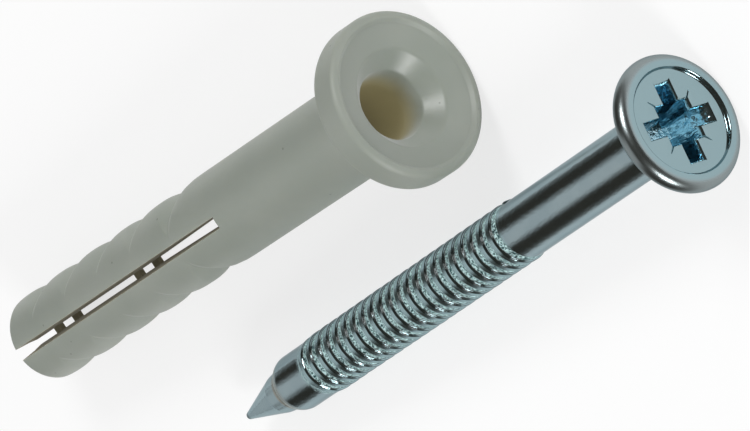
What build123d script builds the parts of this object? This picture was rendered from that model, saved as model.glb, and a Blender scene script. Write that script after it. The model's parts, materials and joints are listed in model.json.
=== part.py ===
from build123d import *
import math
import os

# A hammer-in plug as it comes out of its box: a slotted nylon sleeve with a wide flange, and its
# drive screw lying beside it. Millimetres, Z up, the ends that enter the wall towards -X.
# Each piece is drawn along +X with its entering end at X = 0, then laid on the floor Z = 0, where
# it touches at its head's rim and near its entering end. The origin is the bottom centre of both.

# Sleeve, outside
sleeve_length = 57.6
sleeve_diameter = 8.0
ribbed_diameter = 7.8
ribbed_blend_start = 28.0
ribbed_blend_end = 30.0
end_bevel = 0.35

# Wave ribs on the two flanks: arcs turned about an axis that lies across the centre
wave_radius = 7.0
wave_pitch = 5.43
wave_count = 5
last_wave_length = 6.15
last_notch_extra = 0.18
first_notch = 4.0
wave_axis_offset = 1.37
wave_skim = 0.02

# Flange, with a raised lip, a shallow dish and a funnel into the bore
flange_diameter = 14.4
flange_thickness = 3.0
flange_back_bevel = 0.4
lip_bevel = 0.35
lip_outer_diameter = 13.8
lip_inner_diameter = 13.0
dish_diameter = 12.4
dish_edge_depth = 0.35
funnel_diameter = 8.5
funnel_depth = 0.95
neck_diameter = 6.0
neck_depth = 2.5

# Bore: straight for the screw's shank, then tapering so that the screw spreads the halves
shank_clearance = 0.15
bore_flare_depth = 4.8
bore_taper_start = 32.5
bore_taper_end = 18.5
bore_end_diameter = 2.2

# Slot through both walls, with draft, and the thin webs that hold the halves together
slot_length = 33.0
slot_outer_width = 1.12
slot_shoulder_width = 0.78
slot_shoulder_radius = 2.0
slot_inner_width = 0.5
tie_positions = (3.65, 17.1)
tie_length = 0.9
tie_thickness = 0.3
tie_bite = 0.2

# Drive screw: blunt cone, rounded shoulder, plain stub, threaded length, plain shank
screw_length = 65.7
screw_diameter = 5.0
tip_diameter = 0.62
cone_length = 5.5
cone_diameter = 3.5
land_end = 7.2
land_diameter = 3.98
shoulder_corner = 7.75
shoulder_radius = 1.85
thread_start = 11.7
thread_end = 43.2
thread_diameter = 5.32
thread_runin = 2.1
thread_runout = 0.5

# Screw head, with a short cone under it, a rounded rim, a flat dish and a cross recess
head_diameter = 11.5
head_thickness = 1.72
head_rim_round = 0.84
underhead_diameter = 7.0
underhead_length = 1.5
head_lip_diameter = 9.7
head_dish_diameter = 8.8
head_dish_depth = 0.4
recess_turn = -11.0
recess_depth = 3.4
wing_span = 6.9
wing_span_bottom = 3.0
wing_width = 1.5
wing_width_bottom = 1.05
recess_core = 3.4
recess_core_bottom = 2.0
tick_reach = 3.1
tick_width = 0.24
tick_depth = 0.4

# How the two lie: the sleeve's slot faces up, a little rolled, and the screw is turned a little
sleeve_roll = 2.3
piece_gap = 4.28
head_lead = 22.65
screw_yaw = 1.43

# Worked out from the sizes above
sleeve_radius = sleeve_diameter / 2
ribbed_radius = ribbed_diameter / 2
flange_radius = flange_diameter / 2
flange_back = sleeve_length - flange_thickness
bore_radius = screw_diameter / 2 + shank_clearance
bore_end_radius = bore_end_diameter / 2
screw_radius = screw_diameter / 2
head_radius = head_diameter / 2
head_back = screw_length - head_thickness
dish_floor = screw_length - head_dish_depth
overrun = 1.0


def rounded_corner(before, corner, after, rounding):
    """Start, end and arcs of a rounding between the run before a corner and the run after it."""
    back = (before - corner).normalized()
    ahead = (after - corner).normalized()
    turn = math.radians(180 - back.get_angle(ahead))
    reach = rounding * math.tan(turn / 2)
    start = corner + back * reach
    end = corner + ahead * reach
    if rounding == 0:
        return start, end, []
    # Two halves, each an exact arc through its weight, so that the turned surface facets evenly
    half_reach = rounding * math.tan(turn / 4)
    first = start - back * half_reach
    last = end - ahead * half_reach
    middle = (first + last) / 2
    weights = [1, math.cos(turn / 4), 1]
    return start, end, [Bezier(start, first, middle, weights=weights), Bezier(middle, last, end, weights=weights)]


def turned(corners):
    """Solid of revolution about X from (x, radius, corner rounding) triples of its closed section."""
    points = [Vector(x, radius) for x, radius, rounding in corners]
    joints = []
    for index, corner in enumerate(points):
        after = points[(index + 1) % len(points)]
        joints.append(rounded_corner(points[index - 1], corner, after, corners[index][2]))
    edges = []
    for index, (start, end, arc) in enumerate(joints):
        edges += arc
        edges.append(Line(end, joints[(index + 1) % len(joints)][0]))
    return revolve(make_face(edges), Axis.X)


def sleeve_blank():
    """The sleeve's outside before ribs and slot: a cylinder, a little slimmer at its ribbed end."""
    return turned([
        (0, 0, 0),
        (0, ribbed_radius - end_bevel, 0),
        (end_bevel, ribbed_radius, 0),
        (ribbed_blend_start, ribbed_radius, 0),
        (ribbed_blend_end, sleeve_radius, 0),
        (flange_back, sleeve_radius, 0),
        (flange_back, flange_radius - flange_back_bevel, 0),
        (flange_back + flange_back_bevel, flange_radius, 0),
        (sleeve_length - lip_bevel, flange_radius, 0),
        (sleeve_length, lip_outer_diameter / 2, 0),
        (sleeve_length, 0, 0),
    ])


def wave_points():
    """(x, height above the wave's own axis) of the wave's notches and of the end of its last rise."""
    crest = ribbed_radius + wave_axis_offset + wave_skim
    last_crest = sleeve_radius + wave_axis_offset + wave_skim
    notch = crest - wave_radius + math.sqrt(wave_radius**2 - (wave_pitch / 2) ** 2)
    points = [(first_notch + (index - 1) * wave_pitch, notch) for index in range(wave_count)]
    last_notch = notch - last_notch_extra
    last_notch_x = points[-1][0] + last_wave_length
    last_run = math.sqrt(wave_radius**2 - (wave_radius - last_crest + last_notch) ** 2)
    return points + [(last_notch_x, last_notch), (last_notch_x + last_run, last_crest)]


def wave_envelope():
    """What the sleeve is trimmed to on its +Y flank: scallops towards the tip, and room elsewhere."""
    points = wave_points()
    arcs = [RadiusArc(before, after, wave_radius) for before, after in zip(points, points[1:])]
    start = points[0][0]
    last_x = points[-1][0]
    room = flange_diameter
    far = sleeve_length + overrun
    border = Polyline(points[-1], (last_x, room), (far, room), (far, 0), (start, 0), points[0])
    section = make_face(arcs + list(border.edges()))
    # Turned half round so that the solid's seam lies on the far side of its axis
    return Pos(0, -wave_axis_offset, 0) * Rot(180, 0, 0) * revolve(section, Axis.X)


def slot_cutter():
    """Straight slot through both walls, drafted from its outer edges down to a narrow slit."""
    levels = [
        (slot_outer_width / 2, sleeve_radius),
        (slot_shoulder_width / 2, slot_shoulder_radius),
        (slot_inner_width / 2, bore_end_radius),
    ]
    outer_draft = (slot_outer_width - slot_shoulder_width) / 2 / (sleeve_radius - slot_shoulder_radius)
    brim = (slot_outer_width / 2 + outer_draft * overrun, sleeve_radius + overrun)
    upper_right = [brim] + levels
    lower_right = [(y, -z) for y, z in reversed(upper_right)]
    right = upper_right + lower_right
    left = [(-y, z) for y, z in reversed(right)]
    section = Plane.YZ.offset(-overrun) * make_face(Polyline(*right, *left, close=True))
    return extrude(section, slot_length + overrun)


def ties():
    """Thin webs across the slot, just outside the narrow bore, in both walls."""
    width = slot_shoulder_width + 2 * tie_bite
    height = tie_thickness + tie_bite
    level = bore_end_radius + tie_thickness - height / 2
    webs = [Pos(x, 0, side * level) * Box(tie_length, width, height) for x in tie_positions for side in (1, -1)]
    return Part() + webs


def sleeve_bore():
    """Everything inside: narrow end, taper, straight bore, neck, funnel, dish and lip."""
    return turned([
        (-overrun, 0, 0),
        (-overrun, bore_end_radius, 0),
        (bore_taper_end, bore_end_radius, 0),
        (bore_taper_start, bore_radius, 0),
        (sleeve_length - bore_flare_depth, bore_radius, 0),
        (sleeve_length - neck_depth, neck_diameter / 2, 0),
        (sleeve_length - funnel_depth, funnel_diameter / 2, 0),
        (sleeve_length - dish_edge_depth, dish_diameter / 2, 0),
        (sleeve_length, lip_inner_diameter / 2, 0),
        (sleeve_length + overrun, lip_inner_diameter / 2, 0),
        (sleeve_length + overrun, 0, 0),
    ])


def plug_sleeve():
    """The moulded sleeve."""
    flank = wave_envelope()
    body = sleeve_blank() & flank & Rot(180, 0, 0) * flank
    return body - slot_cutter() + ties() - sleeve_bore()


def screw_blank():
    """The screw before its recess. The threaded length is drawn plain, over the crests."""
    return turned([
        (0, 0, 0),
        (0, tip_diameter / 2, 0),
        (cone_length, cone_diameter / 2, 0),
        (land_end, land_diameter / 2, 0),
        (shoulder_corner, screw_radius, shoulder_radius),
        (thread_start, screw_radius, 0),
        (thread_start + thread_runin, thread_diameter / 2, 0),
        (thread_end - thread_runout, thread_diameter / 2, 0),
        (thread_end, screw_radius, 0),
        (head_back - underhead_length, screw_radius, 0),
        (head_back, underhead_diameter / 2, 0),
        (head_back, head_radius, head_rim_round),
        (screw_length, head_radius, head_rim_round),
        (screw_length, head_lip_diameter / 2, 0),
        (dish_floor, head_dish_diameter / 2, 0),
        (dish_floor, 0, 0),
    ])


def tapered_block(length, width, length_bottom, width_bottom):
    """Block sunk into the head's dish, narrowing from its mouth to its bottom."""
    mouth = Plane.YZ.offset(dish_floor) * Rectangle(length, width)
    bottom = Plane.YZ.offset(dish_floor - recess_depth) * Rectangle(length_bottom, width_bottom)
    return loft([mouth.face(), bottom.face()])


def tick():
    """Shallow wedge-shaped mark between two wings, deepest beside the core."""
    inner = recess_core / 2
    wedge = make_face(
        Polyline((dish_floor, inner), (dish_floor, tick_reach), (dish_floor - tick_depth, inner), close=True)
    )
    return Pos(0, 0, -tick_width / 2) * extrude(wedge, tick_width)


def cross_recess():
    """Four tapered wings, a square core between them and a tick on each diagonal."""
    blade = tapered_block(wing_span, wing_width, wing_span_bottom, wing_width_bottom)
    core = tapered_block(recess_core, recess_core, recess_core_bottom, recess_core_bottom)
    ticks = [Rot(45 + quarter * 90, 0, 0) * tick() for quarter in range(4)]
    return Rot(recess_turn, 0, 0) * (Part() + [blade, Rot(90, 0, 0) * blade, core] + ticks)


def drive_screw():
    """The forged and rolled screw."""
    return screw_blank() - cross_recess()


def lying_tilt(low, high):
    """Angle and lift of a piece that rests on two round edges, each (x, radius of centre, rounding)."""
    run = high[0] - low[0]
    rise = high[1] - low[1]
    tilt = math.atan2(rise, run) + math.asin((high[2] - low[2]) / math.hypot(run, rise))
    lift = high[1] * math.cos(tilt) + high[2] - high[0] * math.sin(tilt)
    return math.degrees(tilt), lift


def laid(low, high, x, y, yaw):
    """Place on the floor, with the piece's X = 0 above (x, y) in plan."""
    tilt, lift = lying_tilt(low, high)
    return Pos(x, y, lift) * Rot(0, 0, yaw) * Rot(0, -tilt, 0)


sleeve_end_edge = (end_bevel, ribbed_radius, 0)
flange_edge = (flange_back + flange_back_bevel, flange_radius, 0)

shoulder_slope = math.atan2(screw_radius - land_diameter / 2, shoulder_corner - land_end)
shoulder_end = shoulder_corner + shoulder_radius * math.tan(shoulder_slope / 2)
shoulder_edge = (shoulder_end, screw_radius - shoulder_radius, shoulder_radius)
head_edge = (head_back + head_rim_round, head_radius - head_rim_round, head_rim_round)

# The screw's axis passes the flange at piece_gap from its edge, and its head lies head_lead beyond
screw_aside = flange_radius + piece_gap + screw_radius
lean = math.tan(math.radians(screw_yaw))
screw_x = sleeve_length + head_lead - screw_length
screw_y = -screw_aside - (screw_length - head_lead) * lean

sleeve = plug_sleeve()
screw = drive_screw()
sleeve_spot = laid(sleeve_end_edge, flange_edge, 0, 0, 0) * Rot(sleeve_roll, 0, 0)
screw_spot = laid(shoulder_edge, head_edge, screw_x, screw_y, screw_yaw)

box = Compound(children=[sleeve_spot * sleeve, screw_spot * screw]).bounding_box()
to_origin = Pos(-box.center().X, -box.center().Y, -box.min.Z)
sleeve_place = to_origin * sleeve_spot
screw_place = to_origin * screw_spot

os.makedirs("parts", exist_ok=True)
export_step(sleeve_place * sleeve, "parts/plug_sleeve.step")
export_step(screw_place * screw, "parts/drive_screw.step")
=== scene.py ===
# %% [markdown]
# # A nail plug and its drive screw
# This lesson dresses a small fixing that lies on a white table: a moulded nylon sleeve with a wide
# flange, and the zinc-plated screw that is hammered into it. The CAD solids give the sizes and the
# places. Here both get the finer forms that light shows: soft creases between the ribs, a rolled
# thread, broken edges round the driver recess, and two finishes.

# %% Frame and units
import json
import math

import bmesh
import bpy
import numpy as np
from mathutils import Matrix, Vector


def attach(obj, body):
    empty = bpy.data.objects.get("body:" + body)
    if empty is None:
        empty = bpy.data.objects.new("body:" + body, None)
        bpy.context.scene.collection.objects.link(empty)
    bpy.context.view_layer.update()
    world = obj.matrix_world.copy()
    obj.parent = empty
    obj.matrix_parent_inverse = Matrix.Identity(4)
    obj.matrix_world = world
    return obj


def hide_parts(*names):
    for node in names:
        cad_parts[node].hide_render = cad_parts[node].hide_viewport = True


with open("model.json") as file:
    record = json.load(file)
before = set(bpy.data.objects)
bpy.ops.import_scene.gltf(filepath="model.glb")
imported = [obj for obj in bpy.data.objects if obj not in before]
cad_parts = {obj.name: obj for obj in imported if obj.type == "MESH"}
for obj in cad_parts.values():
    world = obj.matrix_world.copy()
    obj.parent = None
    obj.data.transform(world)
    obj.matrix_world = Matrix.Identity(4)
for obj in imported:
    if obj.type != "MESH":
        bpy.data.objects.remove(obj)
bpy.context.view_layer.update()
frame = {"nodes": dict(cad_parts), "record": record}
MM = 0.001
mounts = {mount["name"]: mount for mount in frame["record"]["mounts"]}
print("nodes:", sorted(frame["nodes"]), "mounts:", sorted(mounts))

# %% [markdown]
# ## Where each piece lies
# Both pieces are easiest to draw along the X axis, with the end that enters the wall at X = 0, in
# millimetres. The record's mounts say where each real axis runs, so one matrix per piece carries the
# finished mesh from the drawing to its place on the table. Its inverse carries a shading point back to
# the drawing, which lets a finish know how far along the screw it is. The mounts also hold the radii
# that other things must fit, so those aren't written here again.

# %% Lengths and places
SLEEVE_LENGTH = 57.6
FLANGE_BACK = SLEEVE_LENGTH - 3.0
FUNNEL_FOOT = SLEEVE_LENGTH - 4.8
SLOT_END = 33.0
SLEEVE_ROLL = math.radians(2.3)
SCREW_LENGTH = 65.7
HEAD_BACK = SCREW_LENGTH - 1.72
DISH_FLOOR = SCREW_LENGTH - 0.4
CONE_END = 7.2


def mount_size(mount, size):
    return mounts[mount]["dims"][size]


BODY_RADIUS = mount_size("sleeve_body", "r_mm")
BORE_RADIUS = mount_size("sleeve_bore", "r_mm")
SHANK_RADIUS = mount_size("screw_shank", "r_mm")


def lying_place(mount, station):
    """Matrix from a piece's drawing to the table, from a mount whose axis points to the head."""
    axis = Vector(mounts[mount]["axis"])
    start = Vector(mounts[mount]["pos_m"]) / MM - axis * station
    side = Vector((0, 0, 1)).cross(axis).normalized()
    rows = Matrix((axis, side, axis.cross(side))).transposed().to_4x4()
    return Matrix.Scale(MM, 4) @ Matrix.Translation(start) @ rows


bore_middle = FUNNEL_FOOT - mount_size("sleeve_bore", "length_mm") / 2
sleeve_place = lying_place("sleeve_bore", bore_middle) @ Matrix.Rotation(SLEEVE_ROLL, 4, "X")
screw_place = lying_place("cross_recess", DISH_FLOOR)
print("sleeve tip", [round(v / MM, 2) for v in sleeve_place.translation])
print("screw tip", [round(v / MM, 2) for v in screw_place.translation])

# %% [markdown]
# ## Writing nodes as sums
# Node trees are easier to read as arithmetic. A `Value` wraps one output socket, and each operator on
# it adds a Math node, so `1 - mask` is a node too. `NodeTree.add` makes any other node: its settings
# come first, then what its sockets hold.


# %% A small language for nodes
class Value:
    """One output socket. Arithmetic on it adds Math nodes to its tree."""

    def __init__(self, nodes, socket):
        self.nodes, self.socket = nodes, socket

    def __add__(self, other):
        return self.nodes.math("ADD", self, other)

    def __sub__(self, other):
        return self.nodes.math("SUBTRACT", self, other)

    def __rsub__(self, other):
        return self.nodes.math("SUBTRACT", other, self)

    def __mul__(self, other):
        return self.nodes.math("MULTIPLY", self, other)

    def __truediv__(self, other):
        return self.nodes.math("DIVIDE", self, other)

    def __rtruediv__(self, other):
        return self.nodes.math("DIVIDE", other, self)

    def __gt__(self, other):
        return self.nodes.math("GREATER_THAN", self, other)

    def __lt__(self, other):
        return self.nodes.math("LESS_THAN", self, other)

    __radd__ = __add__
    __rmul__ = __mul__


class NodeTree:
    """Adds nodes to a shader or geometry tree."""

    def __init__(self, tree):
        self.tree = tree

    def add(self, kind, settings=None, sockets=None, output=0):
        """A node of any kind, with its settings made first and its sockets filled or linked."""
        node = self.tree.nodes.new(kind)
        for name, value in (settings or {}).items():
            setattr(node, name, value)
        for name, value in (sockets or {}).items():
            if isinstance(value, Value):
                self.tree.links.new(value.socket, node.inputs[name])
            else:
                node.inputs[name].default_value = value
        return Value(self, node.outputs[output]) if node.outputs else node

    def math(self, operation, *values):
        return self.add("ShaderNodeMath", {"operation": operation}, dict(enumerate(values)))

    def smooth(self, value, low, high):
        """0 below low, 1 above high, and an even curve between."""
        settings = {"interpolation_type": "SMOOTHSTEP"}
        return self.add("ShaderNodeMapRange", settings, {0: value, 1: low, 2: high, 3: 0.0, 4: 1.0})

    def split(self, vector):
        """The three parts of a vector."""
        first = self.add("ShaderNodeSeparateXYZ", sockets={0: vector})
        return [Value(self, output) for output in first.socket.node.outputs]

    def joined(self, x, y, z):
        return self.add("ShaderNodeCombineXYZ", sockets={0: x, 1: y, 2: z})


print("node language ready")

# %% [markdown]
# ## Where a shading point is
# A Mapping node with the inverse of a piece's matrix turns Object coordinates into the piece's own
# drawing, in millimetres. Every pattern below reads those, so that a scratch follows the shank however
# the screw lies.


# %% Material helpers
def new_material(name):
    """An empty material and its node tree."""
    material = bpy.data.materials.new(name)
    material.use_nodes = True
    material.node_tree.nodes.clear()
    return material, NodeTree(material.node_tree)


def drawing_point(nodes, place):
    """The shading point in a piece's own drawing, in millimetres."""
    back = place.inverted()
    turn = back.to_3x3() * MM
    point = nodes.add("ShaderNodeTexCoord", output="Object")
    sockets = {0: point, 1: back.translation, 2: turn.to_euler(), 3: (1 / MM, 1 / MM, 1 / MM)}
    return nodes.add("ShaderNodeMapping", sockets=sockets)


def scaled(nodes, vector, scale):
    """A vector with each part multiplied, to stretch a pattern."""
    return nodes.add("ShaderNodeVectorMath", {"operation": "MULTIPLY"}, {0: vector, 1: scale})


def noise(nodes, vector, scale, detail=2.0, roughness=0.5):
    """Soft noise from 0 to 1, with scale in patches per millimetre."""
    sockets = {"Vector": vector, "Scale": scale, "Detail": detail, "Roughness": roughness}
    return nodes.add("ShaderNodeTexNoise", sockets=sockets)


def mixed(nodes, amount, first, second):
    """A colour between two colours."""
    settings = {"data_type": "RGBA"}
    return nodes.add("ShaderNodeMix", settings, {0: amount, 6: first, 7: second}, output=2)


def finish(nodes, shader):
    nodes.add("ShaderNodeOutputMaterial", sockets={"Surface": shader})


print("material helpers ready")

# %% [markdown]
# ## Moulded nylon
# The sleeve is grey nylon with a satin skin. Light goes a little way into it, which flattens its
# shading. Its hollow inside, the slot's walls and the bore, is painted a warm olive, darker in the
# slot: painted shade, and the warm tint of the light that comes through the walls. A faint glow
# there is painted light too, for that same light, which is cheaper than tracing it. The skin has a
# very fine grain from the mould, slow clouds in its grey, and a few dark specks from the pellets it
# was made from.


# %% Nylon
def nylon_material():
    material, nodes = new_material("nylon")
    point = drawing_point(nodes, sleeve_place)
    along, side, up = nodes.split(point)
    radius = nodes.math("SQRT", side * side + up * up)

    clouds = noise(nodes, point, 0.16, 3.0)
    grain = noise(nodes, point, 5.0, 3.0, 0.6)
    skin = mixed(nodes, nodes.smooth(clouds, 0.3, 0.7), (0.262, 0.288, 0.252, 1), (0.286, 0.308, 0.272, 1))

    # Inside: the walls of the slot, and the bore below the funnel
    walls = nodes.smooth(nodes.math("ABSOLUTE", side), 0.66, 0.58) * nodes.smooth(radius, 3.92, 3.75)
    hollow = nodes.smooth(radius, BORE_RADIUS + 0.65, BORE_RADIUS + 0.1)
    hollow = hollow * nodes.smooth(along, FLANGE_BACK + 0.6, FUNNEL_FOOT - 0.4)
    inside = nodes.math("MAXIMUM", walls * (along < SLOT_END + 0.6), hollow)

    # The bore's mouth is painted lighter and warmer than the slot, as painted light for the more light
    # that comes through the flange there
    near_mouth = nodes.smooth(along, 44.0, 52.0)
    # Painted shade and painted light: slot walls and bore are painted a warm olive, darker in the slot,
    # for the shade inside and the warm light coming through the nylon walls
    painted_inner_shade_and_light = mixed(nodes, near_mouth, (0.20, 0.18, 0.12, 1), (0.27, 0.24, 0.14, 1))
    skin = mixed(nodes, inside, skin, painted_inner_shade_and_light)
    # Painted light: a faint glow inside, stronger towards the bore's mouth, for the light that comes
    # through the walls
    painted_through_glow = mixed(nodes, near_mouth, (0.022, 0.020, 0.013, 1), (0.088, 0.076, 0.038, 1))
    painted_through_glow = mixed(nodes, inside, (0, 0, 0, 1), painted_through_glow)

    # Dark specks: the middles of a few cells
    cells = {"Vector": point, "Scale": 0.55, "Randomness": 1.0}
    near = nodes.add("ShaderNodeTexVoronoi", sockets=cells)
    tone = nodes.add("ShaderNodeTexVoronoi", sockets=cells, output="Color")
    picked = nodes.split(tone)[0] > 0.62
    specks = nodes.smooth(near, 0.075, 0.035) * picked
    skin = mixed(nodes, specks * 0.5, skin, (0.05, 0.052, 0.045, 1))

    # The funnel was polished by the mould's pin
    funnel = nodes.smooth(radius, 6.3, 6.0) * nodes.smooth(along, FUNNEL_FOOT - 0.2, FLANGE_BACK - 0.5)
    bump = nodes.add("ShaderNodeBump", sockets={"Strength": 0.12, "Distance": 0.03 * MM, "Height": grain})
    shader = nodes.add("ShaderNodeBsdfPrincipled", sockets={
        "Base Color": skin,
        "Roughness": 0.40 + grain * 0.14 - funnel * 0.10 + inside * 0.35,
        "Normal": bump,
        "IOR": 1.53,
        "Subsurface Weight": 0.35,
        "Subsurface Radius": (1.0, 0.95, 0.7),
        "Subsurface Scale": 0.7 * MM,
        "Emission Color": painted_through_glow,
        "Emission Strength": 1.0,
    })
    finish(nodes, shader)
    return material


nylon = nylon_material()
print("nylon:", len(nylon.node_tree.nodes), "nodes")

# %% [markdown]
# ## Zinc plating with a blue passivation
# The screw is drawn wire under a bright zinc coat, so it mirrors the room: a bright backdrop, two
# softboxes and the dark between them. Fine streaks run along the wire. The coat is bluer where it is
# thick, down in the recess, where it is also painted lighter as painted light against the shade of
# the recess's walls. It is greener in the thread's rough groove, which has painted shade down in its
# pits and painted glints, bright specks, on its peaks. The ridge between the turns is smooth on top.
# Its steep side is painted dark, a painted dark reflection, but for a thin line where a softbox's
# glint shows, and its foot has a painted highlight, a bright dotted line. Mesh and finish count the
# thread's turns in the same way, so its numbers are given here.

# %% Zinc
THREAD_START, THREAD_END = 11.6, 43.2
PITCH = 1.385
WANDER = 0.11
# The finish counts a turn this much ahead of the mesh, so that a steep side isn't split between turns
AHEAD = 0.2


def straying(nodes, point):
    """How far the rolled ridge strays along the screw, from -0.5 to 0.5, in mesh and finish alike."""
    return noise(nodes, point, 0.9, 2.0) - 0.5


def zinc_material():
    material, nodes = new_material("zinc_plated_steel")
    point = drawing_point(nodes, screw_place)
    along, side, up = nodes.split(point)
    radius = nodes.math("SQRT", side * side + up * up)

    clouds = noise(nodes, point, 0.5, 3.0)
    streaks = noise(nodes, scaled(nodes, point, (0.4, 1.0, 1.0)), 5.0, 3.0, 0.6)
    pits = noise(nodes, point, 6.0, 2.0, 0.6)
    dents = noise(nodes, scaled(nodes, point, (0.2, 1.0, 1.0)), 2.6, 2.0, 0.5)
    coat = mixed(nodes, nodes.smooth(clouds, 0.3, 0.7), (0.335, 0.425, 0.455, 1), (0.365, 0.455, 0.480, 1))

    # The recess: all that lies below the dish and inside the neck and the cone under the head
    within = radius < 2.4 + 1.2 * nodes.smooth(along, HEAD_BACK - 1.58, HEAD_BACK + 0.42)
    sunk = nodes.smooth(along, DISH_FLOOR - 0.02, DISH_FLOOR - 0.5) * within * (along > DISH_FLOOR - 4.3)
    # Down in the recess the coat is bluer, and also painted lighter: painted light against the shade
    # between the recess's walls
    coat = mixed(nodes, sunk, coat, (0.44, 0.67, 0.77, 1))

    # The thread, counted in turns: the foot of a ridge, the rough groove, the smooth ridge, its steep side
    threaded = nodes.smooth(along, THREAD_START, THREAD_START + 1.4)
    threaded = threaded * nodes.smooth(along, THREAD_END + 0.1, THREAD_END - 0.3)
    wander = straying(nodes, point) * WANDER
    turns = (along - wander - THREAD_START) / PITCH - nodes.math("ARCTAN2", up, side) / math.tau
    turned = nodes.math("FRACT", turns + (10 + AHEAD))
    groove = threaded * nodes.smooth(turned, 0.03, 0.07) * nodes.smooth(turned + clouds * 0.2, 0.70, 0.56)
    flank = threaded * nodes.smooth(turned, 0.86, 0.90)
    # Painted shade and painted glints: the groove is dark teal down in its pits and nearly white on its
    # peaks, by the same noise as its bumps
    rough_pit_shade_and_glints = mixed(nodes, nodes.smooth(pits, 0.40, 0.56), (0.04, 0.14, 0.155, 1), (0.72, 1.0, 1.0, 1))
    coat = mixed(nodes, threaded, coat, (0.36, 0.495, 0.52, 1))
    coat = mixed(nodes, groove, coat, rough_pit_shade_and_glints)

    # The steep side is painted dark, a painted dark reflection, but for a thin line where a softbox's
    # glint shows, which is wider on the side away from the sleeve
    beside = nodes.math("ABSOLUTE", turned - 0.957) - nodes.smooth(side, 0.6, -0.6) * 0.016
    coat = mixed(nodes, flank * nodes.smooth(beside, 0.004, 0.018), coat, (0.05, 0.055, 0.055, 1))
    # Painted highlight: a bright, less metallic dotted line along each ridge's foot stands in for a glint
    # there
    foot = nodes.smooth(nodes.math("ABSOLUTE", turned - 0.045), 0.035, 0.015)
    painted_foot_glint = threaded * foot * nodes.smooth(pits, 0.42, 0.54)
    coat = mixed(nodes, painted_foot_glint * 0.7, coat, (0.80, 0.88, 0.88, 1))
    # The painted glints are made less metallic, so that their near-white colour shows from every side
    specks = groove * nodes.smooth(pits, 0.47, 0.59)

    # On the head: a bluer face inside a greyer rim
    on_head = nodes.smooth(along, HEAD_BACK - 0.08, HEAD_BACK + 0.32)
    face = on_head * nodes.smooth(radius, 5.3, 4.9) * (1 - sunk)
    rim = on_head * nodes.smooth(radius, 4.9, 5.3)
    coat = mixed(nodes, face, coat, (0.29, 0.405, 0.435, 1))
    coat = mixed(nodes, rim, coat, (0.275, 0.315, 0.32, 1))

    # Heat from the pointing tool left a faint brown ring behind the cone. The very tip is darker.
    heated = nodes.smooth(along, CONE_END - 0.5, CONE_END - 0.1)
    heated = heated * nodes.smooth(along, CONE_END + 1.4, CONE_END + 0.4)
    coat = mixed(nodes, heated * 0.75, coat, (0.34, 0.29, 0.22, 1))
    coat = mixed(nodes, nodes.smooth(along, 0.7, 0.2) * 0.7, coat, (0.10, 0.11, 0.10, 1))

    # Streaks on the wire, pits in the groove and dents in the recess
    plain = nodes.smooth(along, HEAD_BACK - 0.18, HEAD_BACK - 0.58) * (1 - groove)
    height = streaks * plain * 1.8 + pits * (0.2 + groove * 14.0) + dents * sunk * 14.0
    bump = nodes.add("ShaderNodeBump", sockets={"Strength": 0.35, "Distance": 0.02 * MM, "Height": height})
    shader = nodes.add("ShaderNodeBsdfPrincipled", sockets={
        "Base Color": coat,
        "Metallic": 1 - nodes.math("MAXIMUM", painted_foot_glint * 0.6, specks * 0.75),
        "Roughness": 0.08 + streaks * 0.08 + (threaded - flank) * 0.10 + groove * 0.16 + rim * 0.18,
        "Specular Tint": (0.60, 0.66, 0.68, 1),
        "Normal": bump,
    })
    finish(nodes, shader)
    return material


zinc = zinc_material()
print("zinc:", len(zinc.node_tree.nodes), "nodes")

# %% [markdown]
# ## Turned forms
# Sleeve and screw are both turned forms before ribs, thread, slot and recess. A closed outline of
# (x, radius) corners, each with its own rounding, is swept round the X axis. The sleeve's outline is a
# ring, and the screw's starts and ends on the axis, where each end is closed by one vertex. The cutters
# for slot and recess aren't round, so they are lofted through levels along X instead.


# %% Outlines, turning and lofting
def rounded_outline(corners, closed, steps=6):
    """Points of an outline given as (x, radius, rounding) corners."""
    points = []
    for index, (x, y, rounding) in enumerate(corners):
        here = np.array((x, y))
        if rounding == 0 or (not closed and index in (0, len(corners) - 1)):
            points.append(here)
            continue
        back = np.array(corners[index - 1][:2]) - here
        ahead = np.array(corners[(index + 1) % len(corners)][:2]) - here
        back, ahead = back / np.linalg.norm(back), ahead / np.linalg.norm(ahead)
        half = math.acos(np.clip(back @ ahead, -1, 1)) / 2
        bisector = (back + ahead) / np.linalg.norm(back + ahead)
        centre = here + bisector * rounding / math.sin(half)
        first = here + back * rounding / math.tan(half) - centre
        last = here + ahead * rounding / math.tan(half) - centre
        sweep = math.pi - 2 * half
        for step in range(steps + 1):
            share = step / steps
            before, after = (math.sin(part * sweep) / math.sin(sweep) for part in (1 - share, share))
            points.append(centre + before * first + after * last)
    return np.array(points)


def refined(points, closed, longest):
    """The outline with its long runs divided, where longest(x, radius) gives the step."""
    out = []
    count = len(points) if closed else len(points) - 1
    for index in range(count):
        first, last = points[index], points[(index + 1) % len(points)]
        middle = (first + last) / 2
        pieces = max(1, math.ceil(np.linalg.norm(last - first) / longest(*middle)))
        out += [first + (last - first) * k / pieces for k in range(pieces)]
    if not closed:
        out.append(points[-1])
    return np.array(out)


def ring(form, x, radius, segments):
    """One ring of vertices round X, or the same vertex over and over where it meets the axis."""
    if radius < 1e-6:
        return [form.verts.new((x, 0, 0))] * segments
    angles = np.arange(segments) * 2 * math.pi / segments
    return [form.verts.new((x, radius * math.cos(a), radius * math.sin(a))) for a in angles]


def bridge(form, rings):
    """Faces between neighbouring rings."""
    for first, second in zip(rings, rings[1:]):
        count = len(first)
        for j in range(count):
            k = (j + 1) % count
            form.faces.new(list(dict.fromkeys((first[j], first[k], second[k], second[j]))))


def turned_object(name, points, closed, segments):
    """A mesh object swept round X, in millimetres."""
    form = bmesh.new()
    rings = [ring(form, x, radius, segments) for x, radius in points]
    bridge(form, rings + rings[:1] if closed else rings)
    return object_from(name, form)


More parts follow.
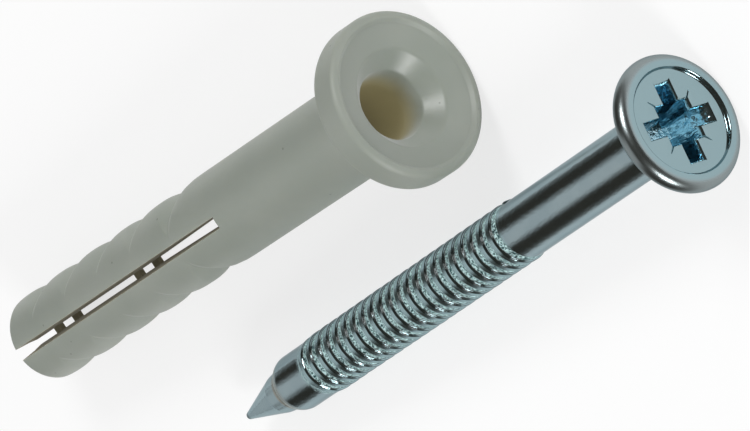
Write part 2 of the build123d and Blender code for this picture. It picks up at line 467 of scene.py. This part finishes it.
def lofted_object(name, levels):
    """A closed mesh object through (x, outline) levels, where an outline is a list of (y, z) points."""
    form = bmesh.new()
    stack(form, [[form.verts.new((x, y, z)) for y, z in outline] for x, outline in levels])
    return object_from(name, form)


def stack(form, rings):
    """A closed form: a face at each end, and the faces between."""
    form.faces.new(rings[0])
    form.faces.new(rings[-1])
    bridge(form, rings)


def object_from(name, form):
    """Turns a bmesh into an object in the scene, with its faces outwards."""
    bmesh.ops.recalc_face_normals(form, faces=form.faces)
    mesh = bpy.data.meshes.new(name)
    form.to_mesh(mesh)
    form.free()
    made = bpy.data.objects.new(name, mesh)
    bpy.context.scene.collection.objects.link(made)
    return made


print("turning and lofting ready")

# %% [markdown]
# ## Keeping what a modifier made
# Geometry Nodes and Booleans are live until their result is kept. `kept` reads the evaluated object
# into a plain mesh and drops the modifiers, so nothing is left that could change later.


# %% Growing and cutting
def kept(piece):
    """Replaces a piece's mesh by what its modifiers make of it."""
    graph = bpy.context.evaluated_depsgraph_get()
    mesh = bpy.data.meshes.new_from_object(piece.evaluated_get(graph))
    piece.modifiers.clear()
    piece.data = mesh
    return piece


def grown(piece, tree, sizes):
    """Runs a Geometry Nodes tree on a piece with these named sizes."""
    modifier = piece.modifiers.new(tree.name, "NODES")
    modifier.node_group = tree
    for item in tree.interface.items_tree:
        if item.name in sizes:
            modifier[item.identifier] = sizes[item.name]
    return kept(piece)


def combined(piece, other, operation, use_self=False):
    """Cuts another object away from a piece, or joins it, and removes that object."""
    modifier = piece.modifiers.new("combine", "BOOLEAN")
    modifier.operation = operation
    modifier.solver = "EXACT"
    modifier.object = other
    modifier.use_self = use_self
    kept(piece)
    bpy.data.objects.remove(other)
    return piece


def new_tree(name, sizes):
    """A geometry tree with a mesh in and out, and one named number for each size."""
    tree = bpy.data.node_groups.new(name, "GeometryNodeTree")
    tree.interface.new_socket("Geometry", in_out="INPUT", socket_type="NodeSocketGeometry")
    tree.interface.new_socket("Geometry", in_out="OUTPUT", socket_type="NodeSocketGeometry")
    for size in sizes:
        tree.interface.new_socket(size, in_out="INPUT", socket_type="NodeSocketFloat")
    nodes = NodeTree(tree)
    entry = nodes.add("NodeGroupInput").socket.node
    inputs = {socket.name: Value(nodes, socket) for socket in entry.outputs if socket.name}
    return nodes, inputs


def move_and_leave(nodes, inputs, position, material):
    """Ends a tree: moves the vertices, makes everything real and gives it its finish."""
    sockets = {"Geometry": inputs["Geometry"], "Position": position}
    moved = nodes.add("GeometryNodeSetPosition", sockets=sockets)
    real = nodes.add("GeometryNodeRealizeInstances", sockets={"Geometry": moved})
    done = nodes.add("GeometryNodeSetMaterial", sockets={"Geometry": real, "Material": material})
    nodes.add("NodeGroupOutput", sockets={"Geometry": done})
    return nodes.tree


print("growing and cutting ready")

# %% [markdown]
# ## The sleeve's ribs
# The ribs are scallops on both flanks. Each is an arc along the sleeve, turned about an axis that lies
# beyond the centre, so that it is deep at the flank and runs out towards the slot in a leaf shape. One
# rule covers them all: each vertex keeps the smaller of its own radius and the scallop's, and a soft
# minimum rounds the crease between the two, as a worn mould does.


# %% Wave ribs as a tree
RIB_SIZES = {
    "Pitch": 5.43, "Wave Radius": 7.0, "First Notch": 4.0, "Ribs": 5.0, "Axis Offset": 1.37,
    "Crest": 3.92, "Last Length": 6.15, "Last Depth": 0.18, "Last Crest": 4.02, "Crease": 0.07,
}
# Between the bore's wall and the skin: only vertices further out than this are shaped
SKIN_FROM = 3.2


def wave_rib_tree():
    nodes, sizes = new_tree("wave_ribs", RIB_SIZES)
    pitch, bend, offset = sizes["Pitch"], sizes["Wave Radius"], sizes["Axis Offset"]
    position = nodes.add("GeometryNodeInputPosition")
    x, y, z = nodes.split(position)
    radius = nodes.math("SQRT", y * y + z * z)

    def arc(crest, from_crest):
        """Height above the wave's own axis of an arc, at this distance from its crest."""
        return crest + offset - bend + nodes.math("SQRT", bend * bend - from_crest * from_crest)

    # Repeated ribs, then a longer one, then the last rise to the plain body
    turns = (x - sizes["First Notch"]) / pitch + 1
    repeated = arc(sizes["Crest"], (nodes.math("FRACT", turns) - 0.5) * pitch)
    notch = arc(sizes["Crest"], pitch * 0.5)
    long_start = sizes["First Notch"] + (sizes["Ribs"] - 2) * pitch
    half, fall = sizes["Last Length"] * 0.5, sizes["Last Depth"]
    crest_to_chord = nodes.math("SQRT", bend * bend - half * half - fall * fall * 0.25)
    reach = crest_to_chord / nodes.math("SQRT", half * half + fall * fall * 0.25)
    long_crest_x = long_start + half - reach * fall * 0.5
    long_rib = arc(notch - offset - fall * 0.5 - reach * half + bend, x - long_crest_x)
    last_notch = long_start + sizes["Last Length"]
    rise = bend - sizes["Last Crest"] - offset + notch - fall
    last_crest_x = last_notch + nodes.math("SQRT", bend * bend - rise * rise)
    final = arc(sizes["Last Crest"], nodes.math("MINIMUM", x - last_crest_x, 0.0))
    height = repeated + (long_rib - repeated) * (x > long_start)
    height = height + (final - height) * (x > last_notch)

    # Radius at which a ray from the sleeve's centre meets the wave
    cosine = nodes.math("ABSOLUTE", y) / radius
    ahead = height * height - offset * offset * (1 - cosine * cosine)
    scallop = nodes.math("SQRT", ahead) - offset * cosine + (x > last_crest_x) * 5

    # The soft minimum of the scallop and the vertex's own radius
    nearer = nodes.add("ShaderNodeClamp", sockets={0: 0.5 + (scallop - radius) / sizes["Crease"] * 0.5})
    soft = scallop + (radius - scallop) * nearer - sizes["Crease"] * nearer * (1 - nearer)
    outer = (radius > SKIN_FROM) * (x < FLANGE_BACK - 2)
    factor = 1 + (soft / radius - 1) * outer
    return move_and_leave(nodes, sizes, nodes.joined(x, y * factor, z * factor), nylon)


wave_ribs = wave_rib_tree()
print("wave_ribs:", len(wave_ribs.nodes), "nodes")

# %% [markdown]
# ## Slot and webs
# The slot lets the two halves spread. Its walls lean a little, so that the mould could open, and thin
# webs across it keep the halves together until the screw comes. The bore narrows in the slotted half,
# which is what the screw pushes apart. The slot is cut with a long prism, and the webs are then joined
# to the walls. The skin needs a fine grid under the ribs and a coarse one elsewhere.

# %% The sleeve
TIP_RADIUS, TIP_BORE_RADIUS = 3.9, 1.1
FLANGE_RADIUS = 7.2
# Half the slot's width at each height above the axis
SLOT_HALF_WIDTHS = [(0.61, 5.0), (0.56, 4.0), (0.39, 2.0), (0.25, 1.1)]
# The webs are boxes, on both sides of the bore: how far along, how far out, and how large
WEB_STATIONS = (3.65, 17.1)
WEB_HEIGHT = 1.15
WEB_SIZE = (0.9, 1.18, 0.5)
# The grid of the turned skin
RIBS_END = 31.0
FINE_STEP, COARSE_STEP = 0.109, 0.9
SLEEVE_ROUND = 160


def slot_prism():
    right = SLOT_HALF_WIDTHS + [(y, -z) for y, z in reversed(SLOT_HALF_WIDTHS)]
    outline = right + [(-y, z) for y, z in reversed(right)]
    return lofted_object("slot", [(-1.0, outline), (SLOT_END, outline)])


def web_boxes():
    form = bmesh.new()
    for x in WEB_STATIONS:
        for side in (1, -1):
            place = Matrix.Translation((x, 0, side * WEB_HEIGHT)) @ Matrix.Diagonal((*WEB_SIZE, 1))
            bmesh.ops.create_cube(form, size=1.0, matrix=place)
    return object_from("webs", form)


def sleeve_outline():
    """The skin from the tip to the flange, the lip and the funnel, and the bore back to the tip."""
    front = SLEEVE_LENGTH
    return [
        (0, TIP_BORE_RADIUS, 0.1), (0, TIP_RADIUS, 0.38), (21.0, TIP_RADIUS, 4.0),
        (27.5, BODY_RADIUS, 4.0), (FLANGE_BACK, BODY_RADIUS, 0.3),
        (FLANGE_BACK, FLANGE_RADIUS, 0.55), (front, FLANGE_RADIUS, 0.5), (front, 6.5, 0.12),
        (front - 0.35, 6.2, 0.35), (front - 0.95, 4.25, 0.7), (front - 2.5, 3.0, 0.6),
        (FUNNEL_FOOT, BORE_RADIUS, 2.0), (32.5, BORE_RADIUS, 3.0), (18.5, TIP_BORE_RADIUS, 3.0),
    ]


def sleeve_step(x, radius):
    return FINE_STEP if radius > SKIN_FROM and x < RIBS_END else COARSE_STEP


def make_sleeve():
    outline = rounded_outline(sleeve_outline(), closed=True)
    points = refined(outline, True, sleeve_step)
    sleeve = turned_object("nylon_sleeve", points, True, SLEEVE_ROUND)
    grown(sleeve, wave_ribs, RIB_SIZES)
    combined(sleeve, slot_prism(), "DIFFERENCE")
    return combined(sleeve, web_boxes(), "UNION")


sleeve = make_sleeve()
print("sleeve:", len(sleeve.data.polygons), "faces")

# %% [markdown]
# ## The rolled thread
# A drive screw's thread is rolled: the dies press a rough groove, and between its turns the steel
# stands up as a low ridge. The ridge rises gently from the tip's side, so that it drives in, and falls
# steeply towards the head, so that it holds. The stem's mesh is wound to suit it. Its rows follow the
# helix, so the steep flank falls on its own rows and stays sharp. The tree then lifts every vertex by
# where it is within one pitch, counted along the screw and once round it, and lets the ridge wander.


# %% Rolled thread as a tree
THREAD_SIZES = {
    "Pitch": PITCH, "Start": THREAD_START, "End": THREAD_END, "Run In": 1.8, "Run Out": 0.4,
    "Rise From": 0.06, "Rise To": 0.38, "Fall From": 0.70, "Fall To": 0.81, "Height": 0.14,
    "Wander": WANDER,
}


def rolled_thread_tree():
    nodes, sizes = new_tree("rolled_thread", THREAD_SIZES)
    position = nodes.add("GeometryNodeInputPosition")
    x, y, z = nodes.split(position)
    radius = nodes.math("SQRT", y * y + z * z)
    around = nodes.math("ARCTAN2", z, y) / math.tau
    place = nodes.math("FRACT", (x - sizes["Start"]) / sizes["Pitch"] - around + 10)

    # A gentle rise from the tip's side, a flat ridge, and a steep fall that faces the head
    band = nodes.smooth(place, sizes["Rise From"], sizes["Rise To"])
    band = band * nodes.smooth(place, sizes["Fall To"], sizes["Fall From"])
    begins = nodes.smooth((x - sizes["Start"]) / sizes["Run In"], 0.0, 1.0)
    ends = nodes.smooth((sizes["End"] - x) / sizes["Run Out"], 0.0, 1.0)
    amount = begins * ends * (radius > 2.0)
    uneven = noise(nodes, position, 1.1, 1.0)
    height = sizes["Height"] * (0.8 + 0.4 * uneven) * band * amount
    wander = straying(nodes, position) * sizes["Wander"] * amount
    factor = 1 + height / radius
    return move_and_leave(nodes, sizes, nodes.joined(x + wander, y * factor, z * factor), zinc)


rolled_thread = rolled_thread_tree()
print("rolled_thread:", len(rolled_thread.nodes), "nodes")

# %% [markdown]
# ## The driver recess
# The recess is a cross with a square core between its wings and a short tick on each diagonal. Its
# cutter is lofted through a stack of outlines: wide at the very mouth, which leaves a rounded lip that
# catches the light, then tapering to the bottom. Each tick is a thin wedge, cut after the cross.

# %% The recess
RECESS_TURN = math.radians(-11)
RECESS = [
    # depth, span, wing width, core, and how far the mouth's rounding reaches out
    (-0.3, 6.85, 1.47, 3.4, 0.15), (0.0, 6.85, 1.47, 3.4, 0.13), (0.04, 6.83, 1.47, 3.38, 0.07),
    (0.11, 6.8, 1.46, 3.36, 0.02), (0.2, 6.7, 1.45, 3.32, 0.0), (1.0, 6.0, 1.36, 2.99, 0.0),
    (3.4, 3.0, 1.05, 2.0, 0.0),
]
# A tick's corners: height over the dish's floor, distance from the axis, and half its width
TICK = [(0.2, 1.7, 0.24), (0.2, 3.3, 0.18), (-0.02, 3.1, 0.03), (-0.42, 1.7, 0.03)]


def cross_outline(span, width, core):
    """The (y, z) outline of a cross with a square core, from its three sizes."""
    arm, half, corner = span / 2, width / 2, core / 2
    quarter = [(arm, half), (corner, half), (corner, corner), (half, corner), (half, arm)]
    out = []
    for cosine, sine in ((1, 0), (0, 1), (-1, 0), (0, -1)):
        out += [(cosine * y - sine * z, sine * y + cosine * z) for y, z in quarter]
    return out


def recess_cutter():
    levels = []
    for depth, span, width, core, flare in RECESS:
        outline = cross_outline(span + 2 * flare, width + 2 * flare, core + 2 * flare)
        levels.append((DISH_FLOOR - depth, outline))
    cutter = lofted_object("recess", levels)
    cutter.data.transform(Matrix.Rotation(RECESS_TURN, 4, "X"))
    return cutter


def tick_cutter():
    form = bmesh.new()
    for quarter in range(4):
        turn = Matrix.Rotation(RECESS_TURN + math.pi / 4 + math.pi / 2 * quarter, 4, "X")
        stack(form, [tick_side(form, turn, sign) for sign in (1, -1)])
    return object_from("ticks", form)


def tick_side(form, turn, sign):
    """The vertices of one side of a tick."""
    places = [Vector((DISH_FLOOR + height, out, sign * half)) for height, out, half in TICK]
    return [form.verts.new(turn @ place) for place in places]


print("recess:", len(RECESS), "levels down to", RECESS[-1][0], "mm")

# %% [markdown]
# ## The screw in two halves
# The stem below the neck is a grid wound along the thread, and the head above it is turned and cut. A
# Boolean on the head alone is quick, and keeps the stem's fine grid out of the solver. Then both are
# welded at the neck, so that the screw is one closed mesh.

# %% The screw
NECK = 50.0
UNDERHEAD_LENGTH, UNDERHEAD_RADIUS = 1.5, 3.5
HEAD_RADIUS, HEAD_ROUND = 5.75, 0.84
SCREW_STEP = 1.2
# Vertices in one ring of the screw, and whole turns of the wound grid
ROUND = 96
TURNS = 23
# Where rows lie within one pitch, close together at the ridge's steep side
ROWS = [
    0, 0.06, 0.12, 0.18, 0.24, 0.3, 0.36, 0.44, 0.53, 0.62,
    0.68, 0.7, 0.715, 0.73, 0.745, 0.76, 0.775, 0.79, 0.81, 0.88,
]


def screw_outline():
    """The cone, the shoulder, the shank, the cone under the head, the head and its dish."""
    return [
        (0, 0, 0), (0, 0.31, 0.12), (5.5, 1.75, 0.6), (CONE_END, 1.99, 0.1),
        (CONE_END + 0.55, SHANK_RADIUS, 1.85), (NECK, SHANK_RADIUS, 0),
        (HEAD_BACK - UNDERHEAD_LENGTH, SHANK_RADIUS, 0.6), (HEAD_BACK, UNDERHEAD_RADIUS, 0.2),
        (HEAD_BACK, HEAD_RADIUS, HEAD_ROUND), (SCREW_LENGTH, HEAD_RADIUS, HEAD_ROUND),
        (SCREW_LENGTH, 4.54, 0.18), (DISH_FLOOR, 4.36, 0.20), (DISH_FLOOR, 0, 0),
    ]


def thread_vertex(form, x, angle):
    return form.verts.new((x, SHANK_RADIUS * math.cos(angle), SHANK_RADIUS * math.sin(angle)))


def wound_stem(points):
    """The screw below its neck: turned ends, and between them a grid wound along the thread."""
    form = bmesh.new()
    start = THREAD_SIZES["Start"] - PITCH
    end = start + PITCH * (TURNS + 1)
    low = [ring(form, x, radius, ROUND) for x, radius in points if x < start - 0.1]
    high = [ring(form, x, radius, ROUND) for x, radius in points if x > end + 0.1]
    bridge(form, low)
    bridge(form, high)

    total, rows = ROUND * TURNS, []
    for a in range(total + ROUND + 1):
        angle = 2 * math.pi * a / ROUND
        stations = ROWS if a <= total else ROWS[:1]
        places = [start + PITCH * (a / ROUND + share) for share in stations]
        rows.append([thread_vertex(form, x, angle) for x in places])
    for a in range(total + 1):
        rows[a].append(rows[a + ROUND][0])
    for a in range(total):
        for p in range(len(ROWS)):
            form.faces.new((rows[a][p], rows[a + 1][p], rows[a + 1][p + 1], rows[a][p + 1]))

    # The grid begins and ends with a step, which one many-sided face takes up at each end
    below, above = low[-1], high[0]
    first = [row[0] for row in rows[:ROUND + 1]]
    last = [row[0] for row in rows[total:]]
    for a in range(ROUND):
        k = (a + 1) % ROUND
        step = rows[0][:-1] if k == 0 else []
        form.faces.new([below[a], below[k]] + step + [first[a + 1], first[a]])
        step = rows[total][-1:0:-1] if a == 0 else []
        form.faces.new([last[a], last[a + 1], above[k], above[a]] + step)
    return object_from("drive_screw_zinc", form)


def make_screw():
    outline = rounded_outline(screw_outline(), closed=False, steps=8)
    points = refined(outline, False, lambda x, radius: SCREW_STEP)
    cap = np.array([[NECK, 0.0]])
    stem = wound_stem(np.vstack((points[points[:, 0] <= NECK], cap)))
    head = turned_object("head", np.vstack((cap, points[points[:, 0] >= NECK])), False, ROUND)
    grown(stem, rolled_thread, THREAD_SIZES)
    # Without use_self the solver leaves the dish's floor open where the wings meet it
    combined(head, recess_cutter(), "DIFFERENCE", use_self=True)
    combined(head, tick_cutter(), "DIFFERENCE", use_self=True)
    return welded(stem, head)


def welded(stem, head):
    """Both halves as one mesh, without the caps between them."""
    form = bmesh.new()
    for half in (stem, head):
        form.from_mesh(half.data)
    caps = [face for face in form.faces if all(abs(vert.co.x - NECK) < 1e-4 for vert in face.verts)]
    bmesh.ops.delete(form, geom=caps, context="FACES")
    bmesh.ops.remove_doubles(form, verts=form.verts, dist=1e-4)
    form.to_mesh(stem.data)
    form.free()
    bpy.data.objects.remove(head)
    return stem


screw = make_screw()
print("screw:", len(screw.data.polygons), "faces")

# %% [markdown]
# ## Laying the pieces down
# The finished meshes are moved into place by their matrices, and their objects stay at the origin. The
# faces are shaded smooth, with a hard edge wherever two faces meet at a steep angle, so that the slot
# and the recess stay crisp.


# %% Into place
def laid(piece, place, node, material):
    """Moves a finished mesh to its place, gives it its finish, and hides the CAD node it stands for."""
    piece.data.transform(place)
    piece.data.polygons.foreach_set("use_smooth", [True] * len(piece.data.polygons))
    piece.data.set_sharp_from_angle(angle=math.radians(32))
    piece.data.materials.clear()
    piece.data.materials.append(material)
    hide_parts(node)
    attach(piece, "root")
    triangles = sum(len(face.vertices) - 2 for face in piece.data.polygons)
    print(piece.name, triangles, "triangles")


laid(sleeve, sleeve_place, "plug_sleeve", nylon)
laid(screw, screw_place, "drive_screw", zinc)

# %% [markdown]
# ## Table
# The table is white. What the camera sees of it is mostly its own white, and the rest is lit, so that
# soft shadows stay. In the polished zinc it fades to grey at both sides, as a sheet of white paper does
# that ends beside the pieces. The Light Path node tells the two kinds of ray apart.

# %% Table
TABLE_REACH = 2.0
# How much of the table is its own white to each kind of ray
OWN_WHITE_SEEN, OWN_WHITE_MIRRORED = 0.72, 0.38


def table_material():
    material, nodes = new_material("white_table")
    seen, mirrored, painted_through_glow = (
        nodes.add("ShaderNodeLightPath", output=name)
        for name in ("Is Camera Ray", "Is Glossy Ray", "Is Transmission Ray")
    )
    direct = nodes.math("MAXIMUM", nodes.math("MAXIMUM", seen, mirrored), painted_through_glow)
    own = direct * OWN_WHITE_SEEN - mirrored * (OWN_WHITE_SEEN - OWN_WHITE_MIRRORED)

    point = nodes.add("ShaderNodeTexCoord", output="Object")
    aside = nodes.math("ABSOLUTE", nodes.split(point)[1])
    dark = mirrored * nodes.smooth(aside, 0.004, 0.11)
    shade = mixed(nodes, dark, (1, 1, 1, 1), (0.20, 0.19, 0.18, 1))
    paper = mixed(nodes, dark, (0.9, 0.9, 0.9, 1), (0.18, 0.17, 0.16, 1))
    lit = nodes.add("ShaderNodeBsdfDiffuse", sockets={"Color": paper})
    white = nodes.add("ShaderNodeEmission", sockets={"Color": shade, "Strength": 1.0})
    finish(nodes, nodes.add("ShaderNodeMixShader", sockets={0: own, 1: lit, 2: white}))
    return material


form = bmesh.new()
bmesh.ops.create_grid(form, x_segments=1, y_segments=1, size=TABLE_REACH)
table = object_from("table", form)
table.data.materials.append(table_material())
print("table:", len(table.data.materials[0].node_tree.nodes), "nodes")

# %% [markdown]
# ## Room and softboxes
# Polished metal shows its surroundings more than itself, so the room is built for it. Behind the tips
# stands a bright backdrop, which is wider down at the table. Elsewhere the room is dim, and the dark
# between the backdrop and the softboxes draws the two dark bands along the shank. The softboxes stand
# in front, at left and right. They light the nylon and put the glints on rim, dish and thread. The
# camera sees plain white, and matt surfaces get an even light.


# %% Room and softboxes
def make_room():
    world = bpy.data.worlds.new("room")
    bpy.context.scene.world = world
    world.use_nodes = True
    world.node_tree.nodes.clear()
    nodes = NodeTree(world.node_tree)

    # What the zinc mirrors, by direction
    direction = nodes.add("ShaderNodeTexCoord", output="Generated")
    ahead, aside, height = nodes.split(direction)
    aside = nodes.math("ABSOLUTE", aside) - nodes.smooth(height, 0.24, 0.08) * 0.22
    behind = nodes.smooth(aside, 0.46, 0.17) * nodes.smooth(ahead, -0.15, -0.45)
    dim = mixed(nodes, nodes.smooth(height, 0.15, -0.02), (0.056, 0.049, 0.04, 1), (0.20, 0.19, 0.18, 1))
    mirrored = mixed(nodes, behind, dim, (0.70, 0.70, 0.70, 1))

    # What each kind of ray gets
    camera = nodes.add("ShaderNodeLightPath", output="Is Camera Ray")
    glossy = nodes.add("ShaderNodeLightPath", output="Is Glossy Ray")
    soft = mixed(nodes, glossy, (0.50, 0.50, 0.50, 1), mirrored)
    colour = mixed(nodes, camera, soft, (1, 1, 1, 1))
    background = nodes.add("ShaderNodeBackground", sockets={"Color": colour, "Strength": 1.0})
    nodes.add("ShaderNodeOutputWorld", sockets={"Surface": background})


def make_softbox(name, place):
    """A square lamp that faces the origin."""
    lamp = bpy.data.lights.new(name, "AREA")
    lamp.size = 0.22
    lamp.energy = 2.1
    holder = bpy.data.objects.new(name, lamp)
    bpy.context.scene.collection.objects.link(holder)
    holder.location = place
    holder.rotation_euler = (-Vector(place)).to_track_quat("-Z", "Y").to_euler()


make_room()
make_softbox("left_softbox", (0.27, 0.44, 0.40))
make_softbox("right_softbox", (0.25, -0.50, 0.32))
# The sleeve would darken one side of the screw, as if it stood in the mirrored room
sleeve.visible_glossy = False
print("room and softboxes ready")

# %% [markdown]
# ## Camera
# The camera looks down at the heads with a long lens. Its angles, distance and lens were matched to
# the outlines of both pieces, and it is rolled so that they run up to the right. The lens is given in
# pixels of a picture 750 wide, and the aim is moved sideways and up in the camera's own plane.

# %% Camera
AZIMUTH, ELEVATION, ROLL = (math.radians(angle) for angle in (-0.95027, 43.16903, -121.62674))
DISTANCE, FOCAL_PIXELS = 550.29579, 6700.37835
AIM_RIGHT, AIM_UP = -0.43946, -0.98542
PICTURE_WIDTH, SENSOR_WIDTH = 750, 36.0

flat = math.cos(ELEVATION)
back = Vector((flat * math.cos(AZIMUTH), flat * math.sin(AZIMUTH), math.sin(ELEVATION)))
level = Vector((0, 0, 1)).cross(back).normalized()
upright = back.cross(level)
right = level * math.cos(ROLL) + upright * math.sin(ROLL)
top = upright * math.cos(ROLL) - level * math.sin(ROLL)

camera = bpy.data.objects.new("camera", bpy.data.cameras.new("camera"))
bpy.context.scene.collection.objects.link(camera)
camera.data.sensor_width = SENSOR_WIDTH
camera.data.lens = FOCAL_PIXELS * SENSOR_WIDTH / PICTURE_WIDTH
place = right * AIM_RIGHT + top * AIM_UP + back * DISTANCE
turn = Matrix((right, top, back)).transposed().to_4x4()
camera.matrix_world = Matrix.Translation(place * MM) @ turn
bpy.context.scene.camera = camera
bpy.context.scene.view_settings.view_transform = "Standard"
print("lens", round(camera.data.lens, 1), "mm")
